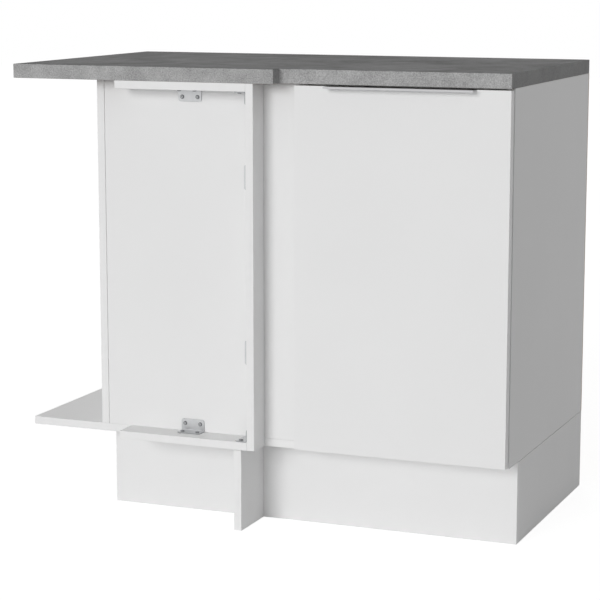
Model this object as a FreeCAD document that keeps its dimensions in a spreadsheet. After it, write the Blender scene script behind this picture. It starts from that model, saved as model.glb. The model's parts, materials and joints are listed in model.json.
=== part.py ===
import FreeCAD, Part
import math
import os
import re
import Sketcher

# Corner base cabinet with one hinged door, a fixed blind panel and a stepped worktop.
# Frame: X to the right, Y to the back, Z up, origin under the middle of the whole on the floor.

# Sizes in millimetres. Each one can be set by itself.
SIZES = {
    # carcass of white-faced boards
    "cabinet_width": 866,
    "carcass_height": 720,
    "carcass_depth": 548,
    "board": 16,
    "back_thickness": 3,
    "plinth_space": 164,
    "bottom_left_overhang": 158,
    "stretcher_width": 100,
    # worktop, deeper on the left than above the door
    "worktop_thickness": 28,
    "worktop_left_overhang": 160,
    "worktop_shallow_length": 462,
    "worktop_door_overhang": 24,
    # blind panel and the corner filler in front of it
    "blind_gap": 0.6,
    "blind_overlap": 20,
    "filler_depth": 52,
    "post_from_right": 504,
    "rail_length": 280,
    # angle brackets of the filler
    "bracket_width": 50,
    "bracket_leg": 25,
    "bracket_thickness": 2,
    "bracket_corner": 5,
    "bracket_hole_spacing": 33,
    "bracket_hole_height": 16,
    "post_bracket_spacing": 348,
    "pilot_reach": 28,
    "pilot_diameter": 2.5,
    # shelf
    "shelf_clear_below": 336,
    "shelf_setback": 20,
    "shelf_side_gap": 1,
    "shelf_back_gap": 2,
    "shelf_pin_diameter": 5,
    "shelf_pin_length": 16,
    "shelf_pin_setback": 60,
    # plinth
    "plinth_gap": 0.6,
    "plinth_recess": 60,
    "return_from_right": 532,
    "return_screw_bite": 34,
    "return_screw_height": 40,
    "corner_block": 20,
    "corner_block_height": 80,
    "corner_block_lift": 40,
    "corner_screw_inset": 15,
    "corner_screw_step": 15,
    "clip_lift": 66,
    "clip_height": 30,
    "clip_plate_width": 44,
    "clip_plate_thickness": 4,
    "clip_neck_width": 14,
    "clip_ring_wall": 3,
    "clip_mouth": 24,
    "clip_screw_spacing": 30,
    # levelling feet
    "foot_plinth_distance": 45,
    "foot_left_inset": 60,
    "foot_rear_inset": 70,
    "socket_flange": 70,
    "socket_flange_thickness": 5,
    "socket_wall": 4,
    "socket_length": 55,
    "socket_screw_spacing": 52,
    "leg_diameter": 30,
    "leg_clearance": 0.3,
    "pad_diameter": 56,
    "pad_edge": 4,
    "pad_height": 12,
    # door and its edge pull
    "door_width": 430,
    "door_thickness": 19,
    "door_gap": 4,
    "door_side_reveal": 1,
    "door_top_gap": 3,
    "door_bottom_reveal": 4,
    "handle_length": 296,
    "handle_thickness": 2,
    "handle_projection": 22,
    "handle_return": 2,
    "handle_flange": 20,
    "handle_screw_drop": 12,
    "handle_screw_spacing": 120,
    "bumper_diameter": 10,
    "bumper_end_distance": 40,
    "bumper_gap": 0.3,
    # cup hinges with a cranked arm on one pin
    "hinge_end_distance": 100,
    "hinge_pin_inset": 8,
    "hinge_pin_depth": 10,
    "hinge_pin_diameter": 3,
    "hinge_running_clearance": 0.05,
    "cup_diameter": 35,
    "cup_depth": 14,
    "cup_wall": 0.8,
    "cup_edge": 3,
    "cup_flange_thickness": 1,
    "cup_rim": 2,
    "cup_ear_length": 60,
    "cup_ear_width": 13,
    "cup_screw_spacing": 48,
    "cup_screw_offset": 9.5,
    "lug_gap": 0.2,
    "lug_thickness": 2.2,
    "lug_length": 5.2,
    "lug_front": 2.2,
    "arm_thickness": 3,
    "arm_width": 12,
    "arm_foot_thickness": 2.2,
    "eye_wall": 1.25,
    "plate_base": 2,
    "plate_rib": 6,
    "plate_rib_width": 14,
    "plate_length": 34,
    "plate_height": 56,
    "plate_setback": 20,
    "plate_screw_spacing": 40,
    # dowels, cam fittings, screws and pins
    "dowel_diameter": 8,
    "dowel_length": 30,
    "cam_diameter": 15,
    "cam_setback": 34,
    "cam_floor": 4.5,
    "cam_bolt_diameter": 6,
    "cam_key_diameter": 5,
    "cam_key_depth": 2,
    "joint_front_setback": 45,
    "joint_rear_setback": 140,
    "joint_spacing": 32,
    "blind_joint_inset": 100,
    "drill_skin": 5,
    "screw_diameter": 3.5,
    "screw_head_diameter": 7.5,
    "screw_head_crown": 5,
    "screw_head_height": 2.2,
    "worktop_screw_bite": 18,
    "worktop_screw_inset": 150,
    "back_pin_diameter": 2,
    "back_pin_length": 20,
    "back_pin_inset": 80,
    "fit_clearance": 0.1,
    "end_clearance": 0.5,
}

# Places and shared measures, worked out from the sizes.
PLACES = {
    "right_face": "(cabinet_width + worktop_left_overhang) / 2",
    "left_end": "-(cabinet_width + worktop_left_overhang) / 2",
    "left_face": "right_face - cabinet_width",
    "inner_right": "right_face - board",
    "inner_left": "left_face + board",
    "middle": "right_face - cabinet_width / 2",
    "back_face": "(carcass_depth + filler_depth) / 2",
    "panel_back": "back_face - back_thickness",
    "carcass_front": "back_face - carcass_depth",
    "filler_front": "carcass_front - filler_depth",
    "filler_middle": "carcass_front - filler_depth / 2",
    "carcass_top": "plinth_space + carcass_height",
    "floor_top": "plinth_space + board",
    "bottom_left": "left_face - bottom_left_overhang",
    "stretcher_under": "carcass_top - board",
    "stretcher_centre": "carcass_top - board / 2",
    "shelf_under": "floor_top + shelf_clear_below",
    "shelf_front": "blind_back + shelf_setback",
    "shelf_rear": "panel_back - shelf_back_gap",
    "blind_left": "inner_left + blind_gap",
    "blind_right": "door_left + blind_overlap",
    "blind_back": "carcass_front + board",
    "post_right": "right_face - post_from_right",
    "post_left": "post_right - board",
    "rail_left": "post_left - rail_length",
    "rail_middle": "post_left - rail_length / 2",
    "carcass_middle": "plinth_space + carcass_height / 2",
    "plinth_top": "plinth_space - plinth_gap",
    "plinth_front": "carcass_front + plinth_recess",
    "plinth_rear": "plinth_front + board",
    "return_right": "right_face - return_from_right",
    "foot_right": "inner_right - foot_plinth_distance",
    "foot_left": "left_face + foot_left_inset",
    "foot_far_left": "bottom_left + foot_left_inset",
    "foot_front": "plinth_rear + foot_plinth_distance",
    "foot_rear": "panel_back - foot_rear_inset",
    "socket_under": "plinth_space - socket_flange_thickness",
    "leg_bore": "leg_diameter + 2 * leg_clearance",
    "leg_top": "socket_under - leg_clearance",
    "door_right": "right_face - door_side_reveal",
    "door_left": "door_right - door_width",
    "door_middle": "door_right - door_width / 2",
    "door_back": "carcass_front - door_gap",
    "door_front": "door_back - door_thickness",
    "door_bottom": "plinth_space + door_bottom_reveal",
    "door_top": "carcass_top - door_top_gap",
    "pin_x": "door_right - hinge_pin_inset",
    "pin_y": "door_back - hinge_pin_depth",
    "eye_diameter": "hinge_pin_diameter + 2 * eye_wall",
    "lug_start": "arm_width / 2 + lug_gap",
    "lug_end": "lug_start + lug_thickness",
    "cup_centre": "door_right - cup_edge - cup_diameter / 2",
    "cup_floor": "door_back - cup_depth",
    "cup_face": "door_back + cup_flange_thickness",
    "arm_face": "inner_right - plate_base - plate_rib - arm_thickness",
    "plate_front": "carcass_front + plate_setback",
    "plate_rear": "carcass_front + plate_setback + plate_length",
    "drill_depth": "board - drill_skin",
    "door_drill_depth": "door_thickness - drill_skin",
    "screw_hole": "screw_diameter + 2 * fit_clearance",
}

DIRECTIONS = {
    "+x": FreeCAD.Vector(1, 0, 0),
    "-x": FreeCAD.Vector(-1, 0, 0),
    "+y": FreeCAD.Vector(0, 1, 0),
    "-y": FreeCAD.Vector(0, -1, 0),
    "+z": FreeCAD.Vector(0, 0, 1),
    "-z": FreeCAD.Vector(0, 0, -1),
}

# Sketch references: the two axes count down, the points of an edge or circle count up.
X_AXIS, Y_AXIS = range(-1, -3, -1)
ORIGIN = X_AXIS
START, END, CENTRE = range(1, 4)

doc = FreeCAD.newDocument("corner_base_cabinet")
pieces = {}
cutters = {}
fasteners = {}


def formula(rule, own_sheet=None):
    """Expression for a rule in plain names, each read from the sheet that holds it."""
    def cell(match):
        name = match.group(0)
        sheet = "sizes" if name in SIZES else "places"
        return name if sheet == own_sheet else f"{sheet}.{name}"
    return re.sub(r"[a-z][a-z_]*", cell, rule)


def opposite(direction):
    """The signed axis that points the other way."""
    return ("-" if direction[0] == "+" else "+") + direction[1]


def moved(point, direction, distance):
    """A point of three rules, shifted along a signed axis."""
    shifted = list(point)
    axis = "xyz".index(direction[1])
    shifted[axis] = f"({point[axis]}) {direction[0]} ({distance})"
    return tuple(shifted)


def place(piece, point):
    """Binds a piece's position to three rules."""
    for axis, rule in zip("xyz", point):
        piece.setExpression(f"Placement.Base.{axis}", formula(rule))


def turned(direction):
    """Placement that turns +Z towards a signed axis."""
    return FreeCAD.Placement(FreeCAD.Vector(), FreeCAD.Rotation(DIRECTIONS["+z"], DIRECTIONS[direction]))


def box(name, x, y, z):
    """Block between a low and a high rule on each axis."""
    block = doc.addObject("Part::Box", name)
    for side, (low, high) in zip(("Length", "Width", "Height"), (x, y, z)):
        block.setExpression(side, formula(f"({high}) - ({low})"))
    place(block, (x[0], y[0], z[0]))
    return block


def rod(name, start, along, diameter, length):
    """Cylinder from a start point along a signed axis."""
    cylinder = doc.addObject("Part::Cylinder", name)
    cylinder.Placement = turned(along)
    cylinder.setExpression("Radius", formula(f"({diameter}) / 2"))
    cylinder.setExpression("Height", formula(length))
    place(cylinder, start)
    return cylinder


def joined(name, shapes):
    """One solid from several that meet."""
    union = doc.addObject("Part::MultiFuse", name)
    union.Shapes = shapes
    return union


def cut_away(name, base, tools):
    """A base with one or more tools cut out of it."""
    result = doc.addObject("Part::Cut", name)
    result.Base = base
    result.Tool = tools[0] if len(tools) == 1 else joined(f"{name}_tools", tools)
    return result


def pierce(tool, *names):
    """Has a tool cut each of the named pieces."""
    for name in names:
        cutters.setdefault(name, []).append(tool)


def add_fastener(group, solid):
    """Adds one solid to a group of like fasteners."""
    fasteners.setdefault(group, []).append(solid)


def screw(group, seat, along, length, *through):
    """Pan-head screw whose head rests on the seat, with its hole in each piece that it enters."""
    head = doc.addObject("Part::Cone", "screw_head")
    head.Placement = turned(opposite(along))
    head.setExpression("Radius1", formula("screw_head_diameter / 2"))
    head.setExpression("Radius2", formula("screw_head_crown / 2"))
    head.setExpression("Height", formula("screw_head_height"))
    place(head, seat)
    shank = rod("screw_shank", seat, along, "screw_diameter", length)
    add_fastener(group, joined("screw", [head, shank]))
    pierce(rod("screw_hole", seat, along, "screw_hole", f"{length} + end_clearance"), *through)


def dowel(joint, along, face_piece, edge_piece):
    """Wooden dowel across a joint, from one board's face into the other's edge."""
    start = moved(joint, opposite(along), "drill_depth")
    add_fastener("dowels", rod("dowel", start, along, "dowel_diameter", "dowel_length"))
    hole_start = moved(start, opposite(along), "end_clearance")
    hole_diameter = "dowel_diameter + 2 * fit_clearance"
    hole = rod("dowel_hole", hole_start, along, hole_diameter, "dowel_length + 2 * end_clearance")
    pierce(hole, face_piece, edge_piece)


def cam_joint(joint, along, face_piece, edge_piece, cam_side):
    """Cam fitting: a bolt in one board's face, drawn in by a cam let into the other's face."""
    start = moved(joint, opposite(along), "drill_depth")
    bolt_length = "drill_depth + cam_setback"
    add_fastener("cam_bolts", rod("cam_bolt", start, along, "cam_bolt_diameter", bolt_length))
    hole_start = moved(start, opposite(along), "end_clearance")
    hole_diameter = "cam_bolt_diameter + 2 * fit_clearance"
    hole = rod("cam_bolt_hole", hole_start, along, hole_diameter, f"{bolt_length} + 2 * end_clearance")
    mouth = moved(moved(joint, along, "cam_setback"), cam_side, "board / 2")
    inward = opposite(cam_side)
    cam_height = "board / 2 + cam_floor"
    disc = rod("cam_disc", mouth, inward, "cam_diameter", cam_height)
    key = rod("cam_key", mouth, inward, "cam_key_diameter", "cam_key_depth")
    add_fastener("cam_locks", cut_away("cam_lock", disc, [hole, key]))
    recess = rod("cam_recess", mouth, inward, "cam_diameter + 2 * fit_clearance", cam_height)
    pierce(hole, face_piece, edge_piece)
    pierce(recess, edge_piece)


def new_body(name):
    """Body with its placement at the origin."""
    return doc.addObject("PartDesign::Body", name)


def new_sketch(body, name, plane):
    """Sketch on one of its own body's origin planes."""
    sketch = body.newObject("Sketcher::SketchObject", name)
    support = [feature for feature in body.Origin.OriginFeatures if feature.Role == plane]
    sketch.AttachmentSupport = [(support[0], "")]
    sketch.MapMode = "FlatFace"
    return sketch


def bind_constraint(sketch, constraint, rule):
    """Adds a dimension to a sketch and binds it to a rule."""
    index = sketch.addConstraint(constraint)
    sketch.setExpression(f"Constraints[{index}]", formula(rule))


def polygon(sketch, corners):
    """Closed outline through corners given as pairs of rules, none of them negative."""
    points = []
    for corner in corners:
        values = [float(doc.sizes.evalExpression(formula(rule))) for rule in corner]
        points.append(FreeCAD.Vector(values[0], values[1], 0))
    count = len(points)
    for index in range(count):
        sketch.addGeometry(Part.LineSegment(points[index], points[(index + 1) % count]))
    for index in range(count):
        sketch.addConstraint(Sketcher.Constraint("Coincident", index, END, (index + 1) % count, START))
    for index, corner in enumerate(corners):
        directions = (("DistanceX", Y_AXIS), ("DistanceY", X_AXIS))
        for (kind, axis), rule, value in zip(directions, corner, points[index]):
            if rule == "0":
                sketch.addConstraint(Sketcher.Constraint("PointOnObject", index, START, axis))
            else:
                distance = Sketcher.Constraint(kind, ORIGIN, START, index, START, value)
                bind_constraint(sketch, distance, rule)


def pad(body, sketch, length, reverse=False):
    """Pads a sketch by a rule."""
    feature = body.newObject("PartDesign::Pad", f"{sketch.Name}_pad")
    feature.Profile = sketch
    feature.Reversed = reverse
    feature.setExpression("Length", formula(length))
    return feature


# Size sheets: plain numbers in the first, worked-out places in the second.
size_sheet = doc.addObject("Spreadsheet::Sheet", "sizes")
for row, (name, value) in enumerate(SIZES.items(), start=1):
    size_sheet.set(f"A{row}", str(value))
    size_sheet.setAlias(f"A{row}", name)
place_sheet = doc.addObject("Spreadsheet::Sheet", "places")
for row, name in enumerate(PLACES, start=1):
    place_sheet.setAlias(f"A{row}", name)
for row, rule in enumerate(PLACES.values(), start=1):
    place_sheet.set(f"A{row}", "=" + formula(rule, "places"))
doc.recompute()

# Worktop: one slab with a step in its front edge, deeper over the filler than over the door.
worktop = new_body("worktop_slab")
worktop_sketch = new_sketch(worktop, "worktop_outline", "XY_Plane")
deep_length = "right_face - left_end - worktop_shallow_length"
step_depth = "filler_depth - worktop_door_overhang"
polygon(worktop_sketch, [
    ("0", "0"),
    (deep_length, "0"),
    (deep_length, step_depth),
    ("right_face - left_end", step_depth),
    ("right_face - left_end", "back_face - filler_front"),
    ("0", "back_face - filler_front"),
])
pad(worktop, worktop_sketch, "worktop_thickness")
place(worktop, ("left_end", "filler_front", "carcass_top"))
pieces["worktop"] = worktop

# Carcass boards: the right side covers the end of the bottom, the left side stands on it.
side_depth = ("carcass_front", "panel_back")
pieces["right_side_panel"] = box(
    "right_side_blank", ("inner_right", "right_face"), side_depth, ("plinth_space", "carcass_top"))
pieces["left_side_panel"] = box(
    "left_side_blank", ("left_face", "inner_left"), side_depth, ("floor_top", "carcass_top"))
pieces["bottom_panel"] = box(
    "bottom_blank", ("bottom_left", "inner_right"), side_depth, ("plinth_space", "floor_top"))
pieces["front_stretcher"] = box(
    "front_stretcher_blank", ("inner_left", "inner_right"),
    ("blind_back", "blind_back + stretcher_width"), ("stretcher_under", "carcass_top"))
pieces["rear_stretcher"] = box(
    "rear_stretcher_blank", ("inner_left", "inner_right"),
    ("panel_back - stretcher_width", "panel_back"), ("stretcher_under", "carcass_top"))
pieces["back_panel"] = box(
    "back_blank", ("left_face", "right_face"), ("panel_back", "back_face"),
    ("plinth_space", "carcass_top"))
pieces["blind_panel"] = box(
    "blind_blank", ("blind_left", "blind_right"), ("carcass_front", "blind_back"),
    ("floor_top", "carcass_top"))

# Joints of the carcass: a cam fitting and a dowel beside it at the front and at the rear of each side.
joint_rows = (
    ("carcass_front + joint_front_setback", "+y"),
    ("panel_back - joint_rear_setback", "-y"),
)
for depth, towards_middle in joint_rows:
    right_joint = ("inner_right", depth, "plinth_space + board / 2")
    cam_joint(right_joint, "-x", "right_side_panel", "bottom_panel", "-z")
    dowel(moved(right_joint, towards_middle, "joint_spacing"), "-x", "right_side_panel", "bottom_panel")
    left_joint = ("left_face + board / 2", depth, "floor_top")
    cam_joint(left_joint, "+z", "bottom_panel", "left_side_panel", "+x")
    dowel(moved(left_joint, towards_middle, "joint_spacing"), "+z", "bottom_panel", "left_side_panel")

# Stretchers: a cam fitting between two dowels at each end, and screws up into the worktop.
inner_faces = (("right_side_panel", "inner_right", "-x"), ("left_side_panel", "inner_left", "+x"))
stretcher_rows = {
    "front_stretcher": "blind_back + stretcher_width / 2",
    "rear_stretcher": "panel_back - stretcher_width / 2",
}
for stretcher, depth in stretcher_rows.items():
    for side, end, inward in inner_faces:
        end_joint = (end, depth, "stretcher_centre")
        cam_joint(end_joint, inward, side, stretcher, "-z")
        dowel(moved(end_joint, "+y", "joint_spacing"), inward, side, stretcher)
        dowel(moved(end_joint, "-y", "joint_spacing"), inward, side, stretcher)
        screw_seat = moved((end, depth, "stretcher_under"), inward, "worktop_screw_inset")
        screw("worktop_screws", screw_seat, "+z", "board + worktop_screw_bite", stretcher, "worktop")

# Blind panel: cam fittings and dowels into the bottom, dowels into the front stretcher behind it.
blind_columns = (("blind_left + blind_joint_inset", "+x"), ("blind_right - blind_joint_inset", "-x"))
for across, towards_middle in blind_columns:
    foot_joint = (across, "carcass_front + board / 2", "floor_top")
    cam_joint(foot_joint, "+z", "bottom_panel", "blind_panel", "+y")
    dowel(moved(foot_joint, towards_middle, "joint_spacing"), "+z", "bottom_panel", "blind_panel")
    dowel((across, "blind_back", "stretcher_centre"), "+y", "blind_panel", "front_stretcher")

# Back panel: thin board nailed to the edges of the carcass with pins driven flush.
pin_places = []
side_edges = (("left_face + board / 2", "left_side_panel"), ("right_face - board / 2", "right_side_panel"))
for edge_x, board_name in side_edges:
    for height in ("floor_top + back_pin_inset", "carcass_middle", "stretcher_under - back_pin_inset"):
        pin_places.append((edge_x, height, board_name))
for edge_x in ("inner_left + back_pin_inset", "middle", "inner_right - back_pin_inset"):
    pin_places.append((edge_x, "plinth_space + board / 2", "bottom_panel"))
    pin_places.append((edge_x, "stretcher_centre", "rear_stretcher"))
for across, height, board_name in pin_places:
    pin_start = (across, "back_face", height)
    add_fastener("back_pins", rod("back_pin", pin_start, "-y", "back_pin_diameter", "back_pin_length"))
    pin_bore = "back_pin_diameter + 2 * fit_clearance"
    pin_hole = rod("back_pin_hole", pin_start, "-y", pin_bore, "back_pin_length + end_clearance")
    pierce(pin_hole, "back_panel", board_name)

# Shelf: loose board on four steel pins.
pieces["shelf"] = box(
    "shelf_blank", ("inner_left + shelf_side_gap", "inner_right - shelf_side_gap"),
    ("shelf_front", "shelf_rear"), ("shelf_under", "shelf_under + board"))
pin_rows = ("shelf_front + shelf_pin_setback", "shelf_rear - shelf_pin_setback")
pin_bore = "shelf_pin_diameter + 2 * fit_clearance"
pin_hole_depth = "shelf_pin_length / 2 + end_clearance"
for side, end, inward in inner_faces:
    for depth in pin_rows:
        pin_mouth = (end, depth, "shelf_under - shelf_pin_diameter / 2")
        pin_end = moved(pin_mouth, opposite(inward), "shelf_pin_length / 2")
        pin = rod("shelf_pin", pin_end, inward, "shelf_pin_diameter", "shelf_pin_length")
        add_fastener("shelf_pins", pin)
        pierce(rod("shelf_pin_hole", pin_mouth, opposite(inward), pin_bore, pin_hole_depth), side)

# Corner filler: a post and two rails that stand out from the blind panel.
filler_reach = ("filler_front", "carcass_front")
pieces["corner_post"] = box(
    "post_blank", ("post_left", "post_right"), filler_reach, ("plinth_space", "carcass_top"))
pieces["filler_top_rail"] = box(
    "top_rail_blank", ("rail_left", "post_left"), filler_reach, ("stretcher_under", "carcass_top"))
pieces["filler_bottom_rail"] = box(
    "bottom_rail_blank", ("rail_left", "post_left"), filler_reach, ("plinth_space", "floor_top"))


def bracket_leg(body, name, plane, reverse):
    """Leg of an angle bracket: a plate with two rounded corners and two screw holes."""
    half = SIZES["bracket_width"] / 2
    reach = SIZES["bracket_leg"]
    corner = SIZES["bracket_corner"]
    hole_x = SIZES["bracket_hole_spacing"] / 2
    hole_y = SIZES["bracket_hole_height"]
    hole_radius = SIZES["screw_diameter"] / 2
    straight = reach - corner
    flat = half - corner
    up = FreeCAD.Vector(0, 0, 1)
    quarter = math.radians(90)
    right_round = Part.Circle(FreeCAD.Vector(flat, straight, 0), up, corner)
    left_round = Part.Circle(FreeCAD.Vector(-flat, straight, 0), up, corner)
    sketch = new_sketch(body, name, plane)
    outline = [
        Part.LineSegment(FreeCAD.Vector(-half, 0, 0), FreeCAD.Vector(half, 0, 0)),
        Part.LineSegment(FreeCAD.Vector(half, 0, 0), FreeCAD.Vector(half, straight, 0)),
        Part.ArcOfCircle(right_round, 0, quarter),
        Part.LineSegment(FreeCAD.Vector(flat, reach, 0), FreeCAD.Vector(-flat, reach, 0)),
        Part.ArcOfCircle(left_round, quarter, 2 * quarter),
        Part.LineSegment(FreeCAD.Vector(-half, straight, 0), FreeCAD.Vector(-half, 0, 0)),
        Part.Circle(FreeCAD.Vector(hole_x, hole_y, 0), up, hole_radius),
        Part.Circle(FreeCAD.Vector(-hole_x, hole_y, 0), up, hole_radius),
    ]
    base, right, right_arc, top, left_arc, left, right_hole, left_hole = range(len(outline))
    sketch.addGeometry(outline)
    for first, second in ((base, right), (left, base)):
        sketch.addConstraint(Sketcher.Constraint("Coincident", first, END, second, START))
    for first, second in ((right, right_arc), (right_arc, top), (top, left_arc), (left_arc, left)):
        sketch.addConstraint(Sketcher.Constraint("Tangent", first, END, second, START))
    sketch.addConstraint(Sketcher.Constraint("PointOnObject", base, START, X_AXIS))
    sketch.addConstraint(Sketcher.Constraint("Symmetric", base, START, base, END, Y_AXIS))
    sketch.addConstraint(Sketcher.Constraint("Vertical", right))
    sketch.addConstraint(Sketcher.Constraint("Horizontal", top))
    sketch.addConstraint(Sketcher.Constraint("Vertical", left))
    sketch.addConstraint(Sketcher.Constraint("Equal", right_arc, left_arc))
    sketch.addConstraint(Sketcher.Constraint("Equal", right_hole, left_hole))
    sketch.addConstraint(Sketcher.Constraint("Symmetric", right_hole, CENTRE, left_hole, CENTRE, Y_AXIS))
    dimensions = (
        (("DistanceX", base, START, base, END, 2 * half), "bracket_width"),
        (("DistanceY", base, END, top, START, reach), "bracket_leg"),
        (("Radius", right_arc, corner), "bracket_corner"),
        (("DistanceX", left_hole, CENTRE, right_hole, CENTRE, 2 * hole_x), "bracket_hole_spacing"),
        (("DistanceY", ORIGIN, START, right_hole, CENTRE, hole_y), "bracket_hole_height"),
        (("Diameter", right_hole, 2 * hole_radius), "screw_hole"),
    )
    for dimension, rule in dimensions:
        bind_constraint(sketch, Sketcher.Constraint(*dimension), rule)
    pad(body, sketch, "bracket_thickness", reverse)


def angle_bracket(name, corner, width, lying, standing, lying_piece, standing_piece):
    """Zinc angle bracket in a corner: one leg reaches along lying, the other along standing."""
    body = new_body(f"{name}_sheet")
    bracket_leg(body, f"{name}_lying", "XY_Plane", False)
    bracket_leg(body, f"{name}_standing", "XZ_Plane", True)
    turn = FreeCAD.Rotation(DIRECTIONS[width], DIRECTIONS[lying], DIRECTIONS[standing], "ZXY")
    body.Placement = FreeCAD.Placement(FreeCAD.Vector(), turn)
    place(body, corner)
    pieces[name] = body
    for side in (width, opposite(width)):
        column = moved(corner, side, "bracket_hole_spacing / 2")
        for reach, rise, piece in ((lying, standing, lying_piece), (standing, lying, standing_piece)):
            seat = moved(moved(column, reach, "bracket_hole_height"), rise, "bracket_thickness")
            screw("bracket_screws", seat, opposite(rise), "bracket_thickness + drill_depth", piece)


# Brackets: one under each rail's middle, two up the post, and one in each corner of post and rail.
rail_faces = (
    ("top", "stretcher_under", "-z", "filler_top_rail", "+x", "-y"),
    ("bottom", "floor_top", "+z", "filler_bottom_rail", "-x", "+y"),
)
for level, height, rise, rail, rail_width, corner_width in rail_faces:
    rail_corner = ("rail_middle", "carcass_front", height)
    angle_bracket(f"{level}_rail_bracket", rail_corner, rail_width, "-y", rise, rail, "blind_panel")
    post_corner = ("post_left", "filler_middle", height)
    angle_bracket(f"{level}_corner_bracket", post_corner, corner_width, "-x", rise, rail, "corner_post")
    pilot_row = moved(rail_corner, "-x", "bracket_hole_spacing / 2")
    pilot_corner = moved(post_corner, "-y", "bracket_hole_spacing / 2")
    for pilot in (moved(pilot_row, "-y", "pilot_reach"), moved(pilot_corner, "-x", "pilot_reach")):
        pierce(rod("pilot_hole", pilot, opposite(rise), "pilot_diameter", "drill_depth"), rail)
for level, side in (("upper", "+z"), ("lower", "-z")):
    post_corner = moved(("post_left", "carcass_front", "carcass_middle"), side, "post_bracket_spacing / 2")
    angle_bracket(f"{level}_post_bracket", post_corner, "-z", "-y", "-x", "corner_post", "blind_panel")

# Plinth: a front board, a side board behind its right end, and a return that meets the filler's front.
plinth_rise = ("0", "plinth_top")
pieces["front_plinth"] = box(
    "front_plinth_blank", ("left_face", "right_face"), ("plinth_front", "plinth_rear"), plinth_rise)
pieces["side_plinth"] = box(
    "side_plinth_blank", ("inner_right", "right_face"), ("plinth_rear", "back_face"), plinth_rise)
pieces["plinth_return"] = box(
    "plinth_return_blank", ("return_right - board", "return_right"), ("filler_front", "plinth_front"),
    plinth_rise)
for height in ("return_screw_height", "plinth_top - return_screw_height"):
    return_seat = ("return_right - board / 2", "plinth_rear", height)
    screw("plinth_screws", return_seat, "-y", "board + return_screw_bite", "front_plinth", "plinth_return")

# Corner block: joins the front and side plinth boards from behind.
block_top = "corner_block_lift + corner_block_height"
pieces["plinth_corner_block"] = box(
    "corner_block_blank", ("inner_right - corner_block", "inner_right"),
    ("plinth_rear", "plinth_rear + corner_block"), ("corner_block_lift", block_top))
block_screw = "corner_block + drill_depth"
for block_end, inward in (("corner_block_lift", "+z"), (block_top, "-z")):
    front_row = ("inner_right - corner_block / 2", "plinth_rear + corner_block", block_end)
    front_seat = moved(front_row, inward, "corner_screw_inset")
    screw("plinth_screws", front_seat, "-y", block_screw, "plinth_corner_block", "front_plinth")
    side_row = ("inner_right - corner_block", "plinth_rear + corner_block / 2", block_end)
    side_seat = moved(side_row, inward, "corner_screw_inset + corner_screw_step")
    screw("plinth_screws", side_seat, "+x", block_screw, "plinth_corner_block", "side_plinth")


def levelling_foot(name, across, depth):
    """Socket under the bottom panel with four screws, and a leg that screws up into it."""
    half = "socket_flange / 2"
    flange = box(
        f"{name}_flange", (f"{across} - {half}", f"{across} + {half}"),
        (f"{depth} - {half}", f"{depth} + {half}"), ("socket_under", "plinth_space"))
    neck = (across, depth, "socket_under")
    sleeve = rod(f"{name}_sleeve", neck, "-z", "leg_bore + 2 * socket_wall", "socket_length")
    bore = rod(f"{name}_bore", neck, "-z", "leg_bore", "socket_length")
    pieces[f"{name}_socket"] = joined(f"{name}_socket_blank", [flange, sleeve])
    pierce(bore, f"{name}_socket")
    for side_x in ("+x", "-x"):
        for side_y in ("+y", "-y"):
            seat = moved(moved(neck, side_x, "socket_screw_spacing / 2"), side_y, "socket_screw_spacing / 2")
            screw_length = "socket_flange_thickness + drill_depth"
            screw("foot_screws", seat, "+z", screw_length, f"{name}_socket", "bottom_panel")
    leg = new_body(f"{name}_leg_turning")
    profile = new_sketch(leg, f"{name}_leg_profile", "XZ_Plane")
    polygon(profile, [
        ("0", "0"),
        ("pad_diameter / 2", "0"),
        ("pad_diameter / 2", "pad_edge"),
        ("leg_diameter / 2", "pad_height"),
        ("leg_diameter / 2", "leg_top"),
        ("0", "leg_top"),
    ])
    turning = leg.newObject("PartDesign::Revolution", f"{name}_leg_revolution")
    turning.Profile = profile
    turning.ReferenceAxis = (profile, ["V_Axis"])
    place(leg, (across, depth, "0"))
    pieces[f"{name}_leg"] = leg


def plinth_clip(name, across, depth, towards_plinth, plinth):
    """Spring clip on the back of a plinth board whose open ring snaps round a leg."""
    def span(along_low, along_high, half_width):
        """Ranges on X and Y of a block that points from the leg to the plinth."""
        lengths = sorted_range(along_low, along_high)
        widths = (f"-({half_width})", half_width)
        on_x, on_y = (lengths, widths) if towards_plinth == "+x" else (widths, lengths)
        x_range = tuple(f"{across} + ({value})" for value in on_x)
        y_range = tuple(f"{depth} + ({value})" for value in on_y)
        return x_range, y_range

    def sorted_range(near, far):
        """Range in rising order on the axis that the clip points along."""
        if towards_plinth == "+x":
            return near, far
        return f"-({far})", f"-({near})"

    rise = ("clip_lift", "clip_lift + clip_height")
    ring_start = (across, depth, "clip_lift")
    plate_near = "foot_plinth_distance - clip_plate_thickness"
    ring_outside = "leg_bore + 2 * clip_ring_wall"
    plate = box(f"{name}_plate", *span(plate_near, "foot_plinth_distance", "clip_plate_width / 2"), rise)
    neck = box(f"{name}_neck", *span("leg_bore / 2", plate_near, "clip_neck_width / 2"), rise)
    ring = rod(f"{name}_ring", ring_start, "+z", ring_outside, "clip_height")
    bore = rod(f"{name}_ring_bore", ring_start, "+z", "leg_bore", "clip_height")
    mouth = box(f"{name}_mouth", *span(f"-({ring_outside}) / 2", "0", "clip_mouth / 2"), rise)
    solid = joined(f"{name}_solid", [plate, neck, ring])
    clip = cut_away(f"{name}_shape", solid, [bore, mouth])
    seat = moved((across, depth, "clip_lift + clip_height / 2"), towards_plinth, plate_near)
    sides = ("+y", "-y") if towards_plinth == "+x" else ("+x", "-x")
    for side in sides:
        clip_seat = moved(seat, side, "clip_screw_spacing / 2")
        screw("plinth_screws", clip_seat, towards_plinth, "clip_plate_thickness + drill_depth", plinth, name)
    add_fastener("plinth_clips", cut_away(f"{name}_drilled", clip, cutters.pop(name)))


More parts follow.
